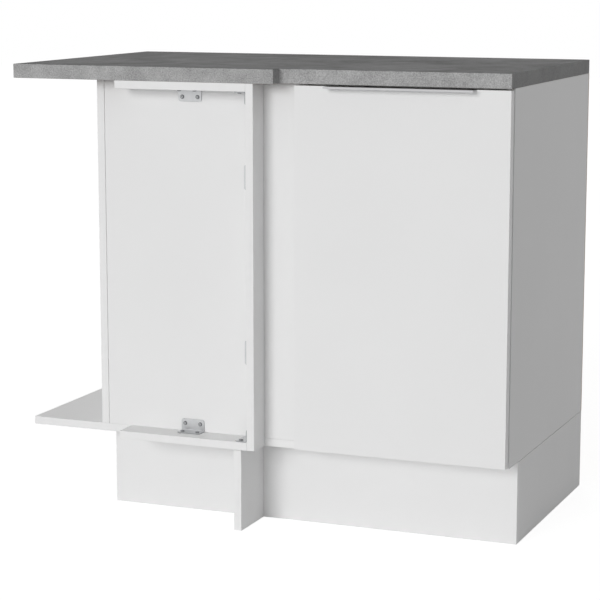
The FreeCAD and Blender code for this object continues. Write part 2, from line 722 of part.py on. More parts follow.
# Feet: three behind the front plinth and three at the rear, one of these under the open bay.
feet = {
    "front_right": ("foot_right", "foot_front"),
    "front_middle": ("middle", "foot_front"),
    "front_left": ("foot_left", "foot_front"),
    "rear_right": ("foot_right", "foot_rear"),
    "rear_middle": ("middle", "foot_rear"),
    "rear_left": ("foot_far_left", "foot_rear"),
}
for foot, (across, depth) in feet.items():
    levelling_foot(foot, across, depth)
for foot in ("front_right", "front_middle", "front_left"):
    plinth_clip(f"{foot}_clip", *feet[foot], "-y", "front_plinth")
plinth_clip("rear_right_clip", *feet["rear_right"], "+x", "side_plinth")

# Door: one flat panel in front of the carcass, with soft bumpers on its free edge.
pieces["door"] = box(
    "door_blank", ("door_left", "door_right"), ("door_front", "door_back"), ("door_bottom", "door_top"))
for height in ("door_top - bumper_end_distance", "door_bottom + bumper_end_distance"):
    bumper_start = ("door_left + blind_overlap / 2", "door_back", height)
    bumper = rod("bumper", bumper_start, "+y", "bumper_diameter", "door_gap - bumper_gap")
    add_fastener("door_bumpers", bumper)

# Edge pull: an aluminium angle let into the door's top edge and screwed on from behind. The front of its
# lip is turned down a little for the fingers.
handle = new_body("handle_extrusion")
handle_sketch = new_sketch(handle, "handle_section", "YZ_Plane")
handle_reach = "handle_projection + door_thickness"
polygon(handle_sketch, [
    ("0", "handle_flange - handle_return"),
    ("handle_thickness", "handle_flange - handle_return"),
    ("handle_thickness", "handle_flange"),
    (handle_reach, "handle_flange"),
    (handle_reach, "0"),
    (f"{handle_reach} + handle_thickness", "0"),
    (f"{handle_reach} + handle_thickness", "handle_flange + handle_thickness"),
    ("0", "handle_flange + handle_thickness"),
])
pad(handle, handle_sketch, "handle_length")
handle_left = "door_middle - handle_length / 2"
handle_under = "door_top - handle_thickness"
place(handle, (handle_left, "door_front - handle_projection", f"{handle_under} - handle_flange"))
pieces["handle"] = handle
handle_span = (f"{handle_left} - fit_clearance", f"{handle_left} + handle_length + fit_clearance")
pierce(box("handle_recess", handle_span, ("door_front", "door_back"), (handle_under, "door_top")), "door")
for shift in ("-handle_screw_spacing", "0", "handle_screw_spacing"):
    handle_seat = (f"door_middle + {shift}", "door_back + handle_thickness", "door_top - handle_screw_drop")
    screw("handle_screws", handle_seat, "-y", "handle_thickness + door_drill_depth", "handle", "door")


def hinge(name, height):
    """Cup in the door, plate on the side panel, and a cranked arm that turns on a pin in the cup."""
    cup_mouth = ("cup_centre", "door_back", height)
    cup_end = ("cup_centre", "cup_floor", height)
    disc = rod(
        f"{name}_rim", cup_mouth, "+y", "cup_diameter + 2 * cup_rim", "cup_flange_thickness")
    ear_middle = "cup_centre - cup_screw_offset"
    ear_x = (f"{ear_middle} - cup_ear_width / 2", f"{ear_middle} + cup_ear_width / 2")
    ear_z = (f"{height} - cup_ear_length / 2", f"{height} + cup_ear_length / 2")
    ears = box(f"{name}_ears", ear_x, ("door_back", "cup_face"), ear_z)
    drum = rod(f"{name}_drum", cup_end, "+y", "cup_diameter", "cup_depth")
    hollow = rod(
        f"{name}_hollow", moved(cup_end, "+y", "cup_wall"), "+y", "cup_diameter - 2 * cup_wall",
        "cup_depth + cup_flange_thickness")
    shell = cut_away(f"{name}_shell", joined(f"{name}_cup_solid", [disc, ears, drum]), [hollow])
    lug_x = ("pin_x + lug_front - lug_length", "pin_x + lug_front")
    lug_y = ("cup_floor", "pin_y + eye_diameter / 2")
    low_lug_z = (f"{height} - lug_end", f"{height} - lug_start")
    high_lug_z = (f"{height} + lug_start", f"{height} + lug_end")
    low_lug = box(f"{name}_low_lug", lug_x, lug_y, low_lug_z)
    high_lug = box(f"{name}_high_lug", lug_x, lug_y, high_lug_z)
    pin_start = ("pin_x", "pin_y", f"{height} - lug_end")
    pin_length = "2 * lug_end"
    pieces[f"{name}_hinge_cup"] = joined(f"{name}_cup_blank", [shell, low_lug, high_lug])
    add_fastener("hinge_pins", rod(f"{name}_pin", pin_start, "+z", "hinge_pin_diameter", pin_length))
    pin_bore = "hinge_pin_diameter + 2 * hinge_running_clearance"
    pin_hole = rod(f"{name}_pin_hole", pin_start, "+z", pin_bore, pin_length)
    pierce(pin_hole, f"{name}_hinge_cup", f"{name}_hinge_arm")
    cup_bore = "cup_diameter + 2 * fit_clearance"
    pierce(rod(f"{name}_cup_hole", cup_mouth, "-y", cup_bore, "cup_depth + fit_clearance"), "door")

    arm_z = (f"{height} - arm_width / 2", f"{height} + arm_width / 2")
    arm_front = "pin_y - eye_diameter / 2"
    arm_x = ("arm_face", "arm_face + arm_thickness")
    strap = box(f"{name}_strap", arm_x, (arm_front, "plate_rear"), arm_z)
    crank_y = (arm_front, f"{arm_front} + arm_foot_thickness")
    crank = box(f"{name}_crank", ("arm_face", "pin_x"), crank_y, arm_z)
    eye = rod(f"{name}_eye", ("pin_x", "pin_y", arm_z[0]), "+z", "eye_diameter", "arm_width")
    pieces[f"{name}_hinge_arm"] = joined(f"{name}_arm_blank", [strap, crank, eye])

    plate_y = ("plate_front", "plate_rear")
    plate_z = (f"{height} - plate_height / 2", f"{height} + plate_height / 2")
    rib_z = (f"{height} - plate_rib_width / 2", f"{height} + plate_rib_width / 2")
    plate_face = "inner_right - plate_base"
    base = box(f"{name}_plate_base", (plate_face, "inner_right"), plate_y, plate_z)
    rib = box(f"{name}_plate_rib", ("arm_face + arm_thickness", plate_face), plate_y, rib_z)
    pieces[f"{name}_hinge_plate"] = joined(f"{name}_plate_blank", [base, rib])
    plate_middle = "plate_front + plate_length / 2"
    plate_name = f"{name}_hinge_plate"
    cup_name = f"{name}_hinge_cup"
    for side in ("+z", "-z"):
        plate_seat = moved((plate_face, plate_middle, height), side, "plate_screw_spacing / 2")
        plate_screw = "plate_base + drill_depth"
        screw("hinge_plate_screws", plate_seat, "+x", plate_screw, plate_name, "right_side_panel")
        cup_seat = moved((ear_middle, "cup_face", height), side, "cup_screw_spacing / 2")
        cup_screw = "cup_flange_thickness + door_drill_depth"
        screw("hinge_cup_screws", cup_seat, "-y", cup_screw, cup_name, "door")
    arm_seat = ("arm_face", plate_middle, height)
    screw("hinge_plate_screws", arm_seat, "+x", "arm_thickness + plate_rib", f"{name}_hinge_arm", plate_name)


hinge("upper", "door_top - hinge_end_distance")
hinge("lower", "door_bottom + hinge_end_distance")

# Every piece gets its drilled holes, and every group of fasteners becomes one node of separate solids.
nodes = []
for name, blank in pieces.items():
    node = cut_away(f"{name}_drilled", blank, cutters.pop(name)) if name in cutters else blank
    node.Label = name
    nodes.append((node, 1))
for name, solids in fasteners.items():
    node = doc.addObject("Part::Compound", f"{name}_group")
    node.Links = solids
    node.Label = name
    nodes.append((node, len(solids)))
doc.recompute()

faults = [item.Label for item in doc.Objects if "Invalid" in item.State or "Error" in item.State]
for node, solid_count in nodes:
    shape = node.Shape
    if shape.isNull() or not shape.isValid() or len(shape.Solids) != solid_count:
        faults.append(node.Label)
if faults or cutters:
    raise RuntimeError(f"failed pieces: {faults}, holes without a piece: {list(cutters)}")

os.makedirs("parts", exist_ok=True)
for node, solid_count in nodes:
    node.Shape.exportStep(f"parts/{node.Label}.step")
print(f"{len(nodes)} nodes written")
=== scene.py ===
import json
import math

import bmesh
import bpy
from mathutils import Matrix, Vector

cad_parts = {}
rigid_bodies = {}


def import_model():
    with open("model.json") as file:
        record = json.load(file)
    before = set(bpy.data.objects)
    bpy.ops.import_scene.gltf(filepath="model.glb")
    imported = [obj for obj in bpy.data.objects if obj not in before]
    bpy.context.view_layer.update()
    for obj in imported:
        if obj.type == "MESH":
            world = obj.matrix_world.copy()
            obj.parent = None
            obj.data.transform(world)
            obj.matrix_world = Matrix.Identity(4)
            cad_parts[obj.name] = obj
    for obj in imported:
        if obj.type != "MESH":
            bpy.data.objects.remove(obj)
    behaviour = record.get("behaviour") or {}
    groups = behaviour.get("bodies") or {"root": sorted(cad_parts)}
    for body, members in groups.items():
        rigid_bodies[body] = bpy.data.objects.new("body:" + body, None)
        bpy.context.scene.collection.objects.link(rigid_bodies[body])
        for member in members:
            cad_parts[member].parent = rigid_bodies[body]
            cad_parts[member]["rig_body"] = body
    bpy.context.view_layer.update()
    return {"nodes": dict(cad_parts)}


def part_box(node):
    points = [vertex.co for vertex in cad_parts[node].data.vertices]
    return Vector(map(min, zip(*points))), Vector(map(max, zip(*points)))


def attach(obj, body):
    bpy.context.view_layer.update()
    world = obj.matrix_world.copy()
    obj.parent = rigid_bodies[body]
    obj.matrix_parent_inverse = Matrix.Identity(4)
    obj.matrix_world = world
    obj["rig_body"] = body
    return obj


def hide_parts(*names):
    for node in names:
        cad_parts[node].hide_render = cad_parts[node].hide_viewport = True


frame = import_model()
nodes = frame["nodes"]


# Carcass, filler and plinth boards: 16 mm chipboard pressed between sheets of white melamine paper. They
# are sawn square, edged with a glued strip of the same white, and drilled for dowels, cams and screws.
MM = 0.001


def linear(hex_colour):
    """An sRGB hex colour as linear red, green, blue and full opacity."""
    channels = [int(hex_colour[start:start + 2], 16) / 255 for start in (1, 3, 5)]
    bent = [c / 12.92 if c <= 0.04045 else ((c + 0.055) / 1.055) ** 2.4 for c in channels]
    return (*bent, 1.0)


def add(tree, kind, inputs=None, **settings):
    """Adds a node: its settings by name, its inputs as numbers, colours or other nodes' outputs."""
    made = tree.nodes.new(kind)
    for name, value in settings.items():
        setattr(made, name, value)
    for socket, value in (inputs or {}).items():
        if isinstance(value, bpy.types.NodeSocket):
            tree.links.new(value, made.inputs[socket])
        else:
            made.inputs[socket].default_value = value
    return made


def new_finish(name, **constants):
    """A material, its tree, its surface shader and the place on the piece, in metres.

    The constants are the shader's own inputs, with low lines for the spaces in their names.
    """
    material = bpy.data.materials.new(name)
    material.use_nodes = True
    tree = material.node_tree
    shader = tree.nodes["Principled BSDF"]
    for socket, value in constants.items():
        shader.inputs[socket.replace("_", " ")].default_value = value
    place = add(tree, "ShaderNodeTexCoord").outputs["Object"]
    return material, tree, shader, place


# Socket numbers of a colour mix: the second colour's share, the two colours, and the mixed result.
SHARE, FIRST, SECOND, MIXED = 0, 6, 7, 2


def two_tone(tree, shader, pattern, light, dark, roughness=None):
    """Lets a pattern take a finish from its light colour to its dark one.

    Given a pair of roughnesses, the same pattern takes the surface from the first to the second.
    """
    colour = add(
        tree, "ShaderNodeMix", {SHARE: pattern, FIRST: linear(light), SECOND: linear(dark)},
        data_type="RGBA")
    tree.links.new(colour.outputs[MIXED], shader.inputs["Base Color"])
    if roughness:
        smooth, rough = roughness
        gloss = add(tree, "ShaderNodeMapRange", {"Value": pattern, "To Min": smooth, "To Max": rough})
        tree.links.new(gloss.outputs["Result"], shader.inputs["Roughness"])


# White melamine: paper cured under a press plate, whose faint pearl grain breaks up the satin shine.
# The real grain is about half a millimetre; it is drawn at 3 mm so that it shows at this distance.
MELAMINE_WHITE = "#EFEFEF"
MELAMINE_SHADE = "#EBEBEB"
SHEET_TONE = 260.0
PEARL_GRAIN = 3.0
PEARL_SMOOTH = 0.42
PEARL_ROUGH = 0.56
PEARL_DEPTH = 0.05
melamine, tree, shader, place = new_finish("white_melamine", IOR=1.5, Specular_IOR_Level=0.3)
tone = add(tree, "ShaderNodeTexNoise", {"Vector": place, "Scale": 1 / (SHEET_TONE * MM), "Detail": 2.0})
two_tone(tree, shader, tone.outputs["Fac"], MELAMINE_WHITE, MELAMINE_SHADE)
grain = add(tree, "ShaderNodeTexNoise", {"Vector": place, "Scale": 1 / (PEARL_GRAIN * MM), "Detail": 3.0})
satin = add(
    tree, "ShaderNodeMapRange",
    {"Value": grain.outputs["Fac"], "To Min": PEARL_SMOOTH, "To Max": PEARL_ROUGH})
relief = add(
    tree, "ShaderNodeBump",
    {"Height": grain.outputs["Fac"], "Strength": 0.25, "Distance": PEARL_DEPTH * MM})
tree.links.new(satin.outputs["Result"], shader.inputs["Roughness"])
tree.links.new(relief.outputs["Normal"], shader.inputs["Normal"])

# Edge band: extruded ABS strip, smoother than the faces, with the faint marks of the scraper that trims it.
# The real marks are a few millimetres apart; they are drawn at 14 mm so that they show.
BAND_WHITE = "#F0F0F0"
BAND_SHADE = "#ECECEC"
BAND_ROUGHNESS = (0.32, 0.48)
SCRAPER_MARK = 14.0
edge_band, tree, shader, place = new_finish("white_abs_edge_band", IOR=1.52, Specular_IOR_Level=0.3)
marks = add(tree, "ShaderNodeTexNoise", {"Vector": place, "Scale": 1 / (SCRAPER_MARK * MM), "Detail": 4.0})
two_tone(tree, shader, marks.outputs["Fac"], BAND_WHITE, BAND_SHADE, BAND_ROUGHNESS)

# Chipboard core, seen only down the drilled holes: resin-bound flakes a few millimetres long, dull and
# uneven in colour.
FLAKE_LIGHT = "#B7986C"
FLAKE_DARK = "#6E5234"
FLAKE = 2.5
chipboard, tree, shader, place = new_finish("chipboard_core", Roughness=0.9)
flakes = add(tree, "ShaderNodeTexVoronoi", {"Vector": place, "Scale": 1 / (FLAKE * MM)})
two_tone(tree, shader, flakes.outputs["Distance"], FLAKE_LIGHT, FLAKE_DARK)

# A point within a hair of a place, in millimetres, counts as there, and an edge over this angle is sharp.
HAIR = 0.01
SHARP = math.radians(50)


def ease_edges(piece, width, segments=2, sides=None):
    """Rounds a piece's sharp edges, as a scraper or a press tool leaves them.

    With sides, the places of its outer faces on each axis, only edges between two of those are rounded.
    """
    weld = piece.modifiers.new("weld", "WELD")
    weld.merge_threshold = HAIR * MM
    bevel = piece.modifiers.new("eased edges", "BEVEL")
    bevel.width = width * MM
    bevel.segments = segments
    bevel.limit_method = "ANGLE"
    bevel.angle_limit = SHARP
    if sides:
        bevel.limit_method = "WEIGHT"
        weights = piece.data.attributes.new("bevel_weight_edge", "FLOAT", "EDGE")
        for edge in piece.data.edges:
            ends = [piece.data.vertices[index].co for index in edge.vertices]
            touched = sum(
                all(abs(end[axis] - bound) < HAIR * MM for end in ends)
                for axis in range(3) for bound in sides[axis])
            weights.data[edge.index].value = 1.0 if touched > 1 else 0.0
    rims = piece.modifiers.new("sharp rims", "EDGE_SPLIT")
    rims.split_angle = SHARP
    rims.use_edge_sharp = False
    piece.modifiers.new("flat faces", "WEIGHTED_NORMAL")


def dress(piece, *materials):
    """Gives a piece its materials in the order of its face numbers."""
    if piece.data.materials:
        piece.data.materials.clear()
    for material in materials:
        piece.data.materials.append(material)


def side_of(piece, face, low, high):
    """Axis of the box side that a face lies on, or None for a face inside, as in a hole."""
    corners = [piece.data.vertices[index].co for index in face.vertices]
    for axis in range(3):
        for bound in (low[axis], high[axis]):
            if all(abs(corner[axis] - bound) < HAIR * MM for corner in corners):
                return axis
    return None


BAND_EASE = 0.8


def dress_board(name):
    """White faces, banded edges and bare core in the holes."""
    board = nodes[name]
    low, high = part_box(name)
    size = list(high - low)
    thin = size.index(min(size))
    dress(board, melamine, edge_band, chipboard)
    for face in board.data.polygons:
        axis = side_of(board, face, low, high)
        if axis is None:
            face.material_index = 2
        else:
            face.material_index = 0 if axis == thin else 1
    ease_edges(board, BAND_EASE, sides=list(zip(low, high)))


for name in (
        "bottom_panel", "right_side_panel", "left_side_panel", "front_stretcher", "rear_stretcher",
        "blind_panel", "shelf", "corner_post", "filler_top_rail", "filler_bottom_rail", "front_plinth",
        "side_plinth", "plinth_return"):
    dress_board(name)


# Dowels between the boards: fluted beech rod, cut to length and glued in. They are hidden once the boards
# are together. Beech is pale pinkish brown with short dark flecks.
BEECH_LIGHT = "#D2A97C"
BEECH_FLECK = "#A97A50"
FLECK_WIDTH = 0.8
FLECK_FADE = 0.5
FLECK_FULL = 0.75
beech, tree, shader, place = new_finish("beech", Roughness=0.6, Specular_IOR_Level=0.3)
fibre = add(tree, "ShaderNodeTexNoise", {"Vector": place, "Scale": 1 / (FLECK_WIDTH * MM), "Detail": 3.0})
flecks = add(
    tree, "ShaderNodeMapRange",
    {"Value": fibre.outputs["Fac"], "From Min": FLECK_FADE, "From Max": FLECK_FULL})
two_tone(tree, shader, flecks.outputs["Result"], BEECH_LIGHT, BEECH_FLECK)
dress(nodes["dowels"], beech)


# Cam fittings: a steel bolt in one board and a zinc die-cast cam in the other, turned by its key slot.
# The same bright zinc plating is on the pins that carry the shelf and on the screws and brackets.
# Zinc is plated in a barrel, which leaves soft clouds a centimetre wide and a satin shine.
ZINC_CLOUD = 9.0
ZINC_DULLING = 0.14


def zinc_plating(name, light, dark, smoothest):
    """Zinc on steel between two tones; thin plating is darker and duller.

    The passive film on zinc scatters some of the light, so that it isn't a full mirror.
    """
    material, tree, shader, place = new_finish(name, Metallic=0.7)
    cloud = add(tree, "ShaderNodeTexNoise", {"Vector": place, "Scale": 1 / (ZINC_CLOUD * MM), "Detail": 4.0})
    two_tone(tree, shader, cloud.outputs["Fac"], light, dark, (smoothest, smoothest + ZINC_DULLING))
    return material


zinc = zinc_plating("zinc_plated_steel", "#D6D7D8", "#C6C7C9", 0.26)
for name in ("cam_bolts", "cam_locks", "shelf_pins"):
    dress(nodes[name], zinc)


# Back panel: 3 mm hardboard, lacquered white on the side that shows inside. The bare side keeps the print
# of the wire screen that the wet fibre mat lay on. It is nailed to the carcass edges with steel pins.

# White lacquer: rolled on thin, which leaves faint dimples in its soft shine. They are a millimetre or two
# across and are drawn at 4 mm so that they show.
LACQUER_WHITE = "#DEDEDB"
LACQUER_SHADE = "#D6D6D2"
LACQUER_ROUGHNESS = (0.42, 0.6)
ROLLER_MARK = 4.0
lacquer, tree, shader, place = new_finish("white_lacquer", IOR=1.5, Specular_IOR_Level=0.35)
dimples = add(tree, "ShaderNodeTexNoise", {"Vector": place, "Scale": 1 / (ROLLER_MARK * MM), "Detail": 3.0})
two_tone(tree, shader, dimples.outputs["Fac"], LACQUER_WHITE, LACQUER_SHADE, LACQUER_ROUGHNESS)

# Bare hardboard: brown wood fibre in soft clouds, with the screen's squares pressed into it. The screen's
# wires are 1.5 mm apart and are drawn at 5 mm so that they show.
FIBRE_LIGHT = "#B9976E"
FIBRE_DARK = "#957350"
FIBRE_CLOUD = 60.0
FIBRE_LOWEST = 0.7
FIBRE_HIGHEST = 1.3
SINGLE_FIBRE = 1.2
SCREEN_PITCH = 5.0
SCREEN_DEPTH = 0.4
hardboard, tree, shader, place = new_finish("bare_hardboard", Roughness=0.85, Specular_IOR_Level=0.15)
cloud = add(
    tree, "ShaderNodeTexNoise",
    {"Vector": place, "Scale": 1 / (FIBRE_CLOUD * MM), "Detail": 6.0, "Roughness": 0.65})
fibre = add(tree, "ShaderNodeTexNoise", {"Vector": place, "Scale": 1 / (SINGLE_FIBRE * MM), "Detail": 2.0})
both = add(tree, "ShaderNodeMath", {0: cloud.outputs["Fac"], 1: fibre.outputs["Fac"]}, operation="ADD")
spread = add(
    tree, "ShaderNodeMapRange",
    {"Value": both.outputs[0], "From Min": FIBRE_LOWEST, "From Max": FIBRE_HIGHEST})
two_tone(tree, shader, spread.outputs["Result"], FIBRE_LIGHT, FIBRE_DARK)

# A wave texture of scale 1 repeats after this length.
WAVE_LENGTH = math.tau / 20
wires = [
    add(
        tree, "ShaderNodeTexWave", {"Vector": place, "Scale": WAVE_LENGTH / (SCREEN_PITCH * MM)},
        bands_direction=direction)
    for direction in ("X", "Z")]
screen = add(
    tree, "ShaderNodeMath", {0: wires[0].outputs["Fac"], 1: wires[1].outputs["Fac"]}, operation="MULTIPLY")
relief = add(
    tree, "ShaderNodeBump",
    {"Height": screen.outputs[0], "Strength": 0.5, "Distance": SCREEN_DEPTH * MM})
tree.links.new(relief.outputs["Normal"], shader.inputs["Normal"])

# A face looks along an axis when its normal has more than this share of it.
FACING = 0.9
back = nodes["back_panel"]
dress(back, lacquer, hardboard)
for face in back.data.polygons:
    face.material_index = 0 if face.normal.y < -FACING else 1
dress(nodes["back_pins"], zinc)


# Levelling feet: a leg with a coarse thread, screwed up into a flanged socket under the bottom panel.
# Both are injection-moulded black polypropylene with a spark-eroded grain from the tool, which dulls it.
# The real grain is a few tenths of a millimetre; it is drawn at 1.5 mm so that it shows.
GRAIN_BLACK = "#1D1D1E"
GRAIN_GREY = "#29292A"
GRAIN_ROUGHNESS = (0.4, 0.62)
TOOL_GRAIN = 1.5
TOOL_GRAIN_DEPTH = 0.1
polypropylene, tree, shader, place = new_finish("black_polypropylene", IOR=1.49, Specular_IOR_Level=0.4)
grain = add(tree, "ShaderNodeTexNoise", {"Vector": place, "Scale": 1 / (TOOL_GRAIN * MM), "Detail": 2.0})
two_tone(tree, shader, grain.outputs["Fac"], GRAIN_BLACK, GRAIN_GREY, GRAIN_ROUGHNESS)
relief = add(
    tree, "ShaderNodeBump",
    {"Height": grain.outputs["Fac"], "Strength": 0.3, "Distance": TOOL_GRAIN_DEPTH * MM})
tree.links.new(relief.outputs["Normal"], shader.inputs["Normal"])

# In a modelled piece, points closer than a seam, in millimetres, are joined, and creases stay sharp.
SEAM = 0.001
CREASE = math.radians(32)


def turn(shape, profile, steps, turns=1, pitch=0.0):
    """Adds a profile of radius and height, in millimetres, turned about the upright axis."""
    points = [shape.verts.new((radius * MM, 0, height * MM)) for radius, height in profile]
    edges = [shape.edges.new(pair) for pair in zip(points, points[1:])]
    bmesh.ops.spin(
        shape, geom=points + edges, cent=(0, 0, 0), axis=(0, 0, 1), dvec=(0, 0, pitch * MM / steps),
        angle=math.tau * turns, steps=steps * turns)


def wall(shape, near, far):
    """Adds a band of faces between two rings of points."""
    for index in range(len(near)):
        shape.faces.new((near[index - 1], near[index], far[index], far[index - 1]))


def prism(shape, outline, depth, place):
    """Adds a straight-sided solid: an outline in millimetres, taken through a depth, put in place."""
    near, far = [[shape.verts.new(place @ Vector((u, v, w))) for u, v in outline] for w in (0, depth)]
    shape.faces.new(near)
    shape.faces.new(far)
    wall(shape, near, far)


def new_piece(name, shape, materials, slot, body, *replaced):
    """A modelled piece that moves with a body and stands for CAD nodes, where any are named."""
    bmesh.ops.remove_doubles(shape, verts=shape.verts, dist=SEAM * MM)
    bmesh.ops.recalc_face_normals(shape, faces=shape.faces)
    for face in shape.faces:
        face.smooth = True
    mesh = bpy.data.meshes.new(name)
    shape.to_mesh(mesh)
    shape.free()
    mesh.set_sharp_from_angle(angle=CREASE)
    piece = bpy.data.objects.new(name, mesh)
    bpy.context.scene.collection.objects.link(piece)
    dress(piece, *materials)
    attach(piece, body)
    if replaced:
        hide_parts(*replaced)
    return piece


FEET = ("front_right", "front_middle", "front_left", "rear_right", "rear_middle", "rear_left")
PAD_RADIUS = 28.0
PAD_EDGE = 4.0
PAD_HEIGHT = 12.0
PAD_HOLLOW = 0.6
STEM_RADIUS = 14.6
LEG_TOP = 158.7
LEG_STEPS = 48
THREAD_ROOT = 13.4
THREAD_SEAT = 0.3
THREAD_CREST = 14.9
THREAD_PITCH = 4.0
THREAD_START = 98.0
THREAD_TURNS = 14
THREAD_STEPS = 32
GRIP_LOW = 15.0
GRIP_HIGH = 34.0
GRIP_RADIUS = 18.0
GRIP_CHAMFER = 1.0
GRIP_FLUTE = 1.1
GRIP_FLUTES = 18
FLUTE_STEPS = 6


def leg_shape():
    """A levelling leg on the upright axis: hollow-rimmed pad, fluted grip, plain stem and thread."""
    shape = bmesh.new()
    foot = THREAD_ROOT - THREAD_SEAT
    ridge = [(foot, 0), (THREAD_CREST, 0.35), (THREAD_CREST, 0.6), (foot, 0.95), (foot, 0)]
    turn(
        shape, [(radius, THREAD_START + share * THREAD_PITCH) for radius, share in ridge],
        THREAD_STEPS, THREAD_TURNS, THREAD_PITCH)
    bmesh.ops.remove_doubles(shape, verts=shape.verts, dist=SEAM * MM)
    bmesh.ops.holes_fill(shape, edges=[edge for edge in shape.edges if edge.is_boundary])

    turn(shape, [
        (0, PAD_HOLLOW), (PAD_RADIUS - 5, PAD_HOLLOW), (PAD_RADIUS - 4, 0), (PAD_RADIUS - 1, 0),
        (PAD_RADIUS, 1), (PAD_RADIUS, PAD_EDGE - 1), (PAD_RADIUS - 1, PAD_EDGE),
        (PAD_RADIUS - 5, PAD_EDGE + 1.5), (STEM_RADIUS + 3, PAD_HEIGHT - 2), (STEM_RADIUS + 0.8, PAD_HEIGHT),
        (STEM_RADIUS, PAD_HEIGHT + 2), (STEM_RADIUS, THREAD_START - 1), (THREAD_ROOT, THREAD_START),
        (THREAD_ROOT - 0.2, LEG_TOP - 1), (THREAD_ROOT - 1.2, LEG_TOP), (0, LEG_TOP)], LEG_STEPS)

    flutes = []
    for step in range(GRIP_FLUTES * FLUTE_STEPS):
        angle = math.tau * step / (GRIP_FLUTES * FLUTE_STEPS)
        radius = GRIP_RADIUS - GRIP_FLUTE * (0.5 - 0.5 * math.cos(GRIP_FLUTES * angle)) ** 2
        flutes.append((radius * math.cos(angle), radius * math.sin(angle)))
    narrower = (GRIP_RADIUS - GRIP_CHAMFER) / GRIP_RADIUS
    rings = [
        [shape.verts.new(Vector((x * share, y * share, height)) * MM) for x, y in flutes]
        for share, height in (
            (narrower, GRIP_LOW), (1, GRIP_LOW + GRIP_CHAMFER), (1, GRIP_HIGH - GRIP_CHAMFER),
            (narrower, GRIP_HIGH))]
    for lower, upper in zip(rings, rings[1:]):
        wall(shape, lower, upper)
    shape.faces.new(rings[0])
    shape.faces.new(rings[-1])
    return shape


# Each socket has four gusset ribs between sleeve and flange, as moulded parts have against bending.
SLEEVE_RADIUS = 19.0
FLANGE_HALF = 33.0
RIB_THICKNESS = 2.4
RIB_LOW = 116.0
RIB_HIGH = 159.2
RIB_ROOT = 0.5
RIB_POINT = 0.8
RIB_TOE = 3.0
RIB_EASE = 0.5
rib_outline = [
    (SLEEVE_RADIUS - RIB_ROOT, RIB_LOW), (SLEEVE_RADIUS + RIB_POINT, RIB_LOW),
    (FLANGE_HALF, RIB_HIGH - RIB_TOE), (FLANGE_HALF, RIB_HIGH), (SLEEVE_RADIUS - RIB_ROOT, RIB_HIGH)]

for foot in FEET:
    low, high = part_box(f"{foot}_leg")
    middle = (low + high) / 2
    axis_foot = Vector((middle.x, middle.y, 0))
    shape = leg_shape()
    bmesh.ops.translate(shape, verts=shape.verts, vec=axis_foot)
    leg = f"{foot}_leg"
    new_piece(f"{foot}_threaded_leg", shape, [polypropylene], "black_plastic", nodes[leg]["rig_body"], leg)

    dress(nodes[f"{foot}_socket"], polypropylene)
    shape = bmesh.new()
    for quarter in range(4):
        turned_place = (
            Matrix.Translation(axis_foot) @ Matrix.Rotation(math.tau * quarter / 4, 4, "Z")
            @ Matrix.Rotation(math.tau / 4, 4, "X") @ Matrix.Scale(MM, 4)
            @ Matrix.Translation((0, 0, -RIB_THICKNESS / 2)))
        prism(shape, rib_outline, RIB_THICKNESS, turned_place)
    ribs = new_piece(f"{foot}_socket_ribs", shape, [polypropylene], "black_plastic", "cabinet")
    ease_edges(ribs, RIB_EASE)


# Screws: pan-head chipboard screws with a cross recess, cold-formed from wire and zinc-plated. Each group
# takes its places and lengths from its own CAD screws.
# The flank of the head and the cross recess take a darker, duller zinc: painted shade for the dark ring
# round each head and down the recess.
painted_shade_zinc = zinc_plating("painted_shade_zinc_on_steel", "#8C8E90", "#76787A", 0.45)

HEAD_RADIUS = 4.1
HEAD_CROWN = 2.4
HEAD_HEIGHT = 2.2
SHANK_RADIUS = 1.75
POINT_LENGTH = 3.0
SCREW_STEPS = 24
CROSS_LENGTH = 1.9
CROSS_WIDTH = 0.42
CROSS_DEPTH = 1.5
CROSS_TAPER = 0.6
GOLDEN_TURN = math.radians(137.5)


def screw_shape(length):
    """A screw along the upright axis with the top of its head at height 0."""
    shape = bmesh.new()
    turn(shape, [
        (0, -length), (SHANK_RADIUS, -length + POINT_LENGTH), (SHANK_RADIUS, -HEAD_HEIGHT),
        (HEAD_RADIUS - 0.2, -HEAD_HEIGHT), (HEAD_RADIUS, -HEAD_HEIGHT + 0.2), (HEAD_RADIUS, -1.5),
        (HEAD_RADIUS - 0.25, -0.8), (HEAD_RADIUS - 0.75, -0.25), (HEAD_CROWN, 0)], SCREW_STEPS)
    bmesh.ops.remove_doubles(shape, verts=shape.verts, dist=SEAM * MM)
    rim = [edge for edge in shape.edges if edge.is_boundary]

    corners = []
    for quarter in range(4):
        turned_quarter = Matrix.Rotation(math.tau * quarter / 4, 3, "Z")
        for point in ((CROSS_WIDTH, CROSS_WIDTH), (CROSS_LENGTH, CROSS_WIDTH), (CROSS_LENGTH, -CROSS_WIDTH)):
            corners.append(turned_quarter @ Vector((*point, 0)) * MM)
    corners.sort(key=lambda corner: math.atan2(corner.y, corner.x))
    bottom = Vector((0, 0, CROSS_DEPTH * MM))
    upper = [shape.verts.new(corner) for corner in corners]
    lower = [shape.verts.new(corner * CROSS_TAPER - bottom) for corner in corners]
    edges = [shape.edges.new((upper[index - 1], upper[index])) for index in range(len(upper))]
    wall(shape, upper, lower)
    shape.faces.new(lower)
    crown = bmesh.ops.triangle_fill(shape, edges=rim + edges, use_beauty=True)
    # All faces but the crown take the darker zinc, which paints the shade on the flank and in the recess.
    for face in shape.faces:
        face.material_index = 1
    for face in crown["geom"]:
        if isinstance(face, bmesh.types.BMFace):
            face.material_index = 0
    return shape


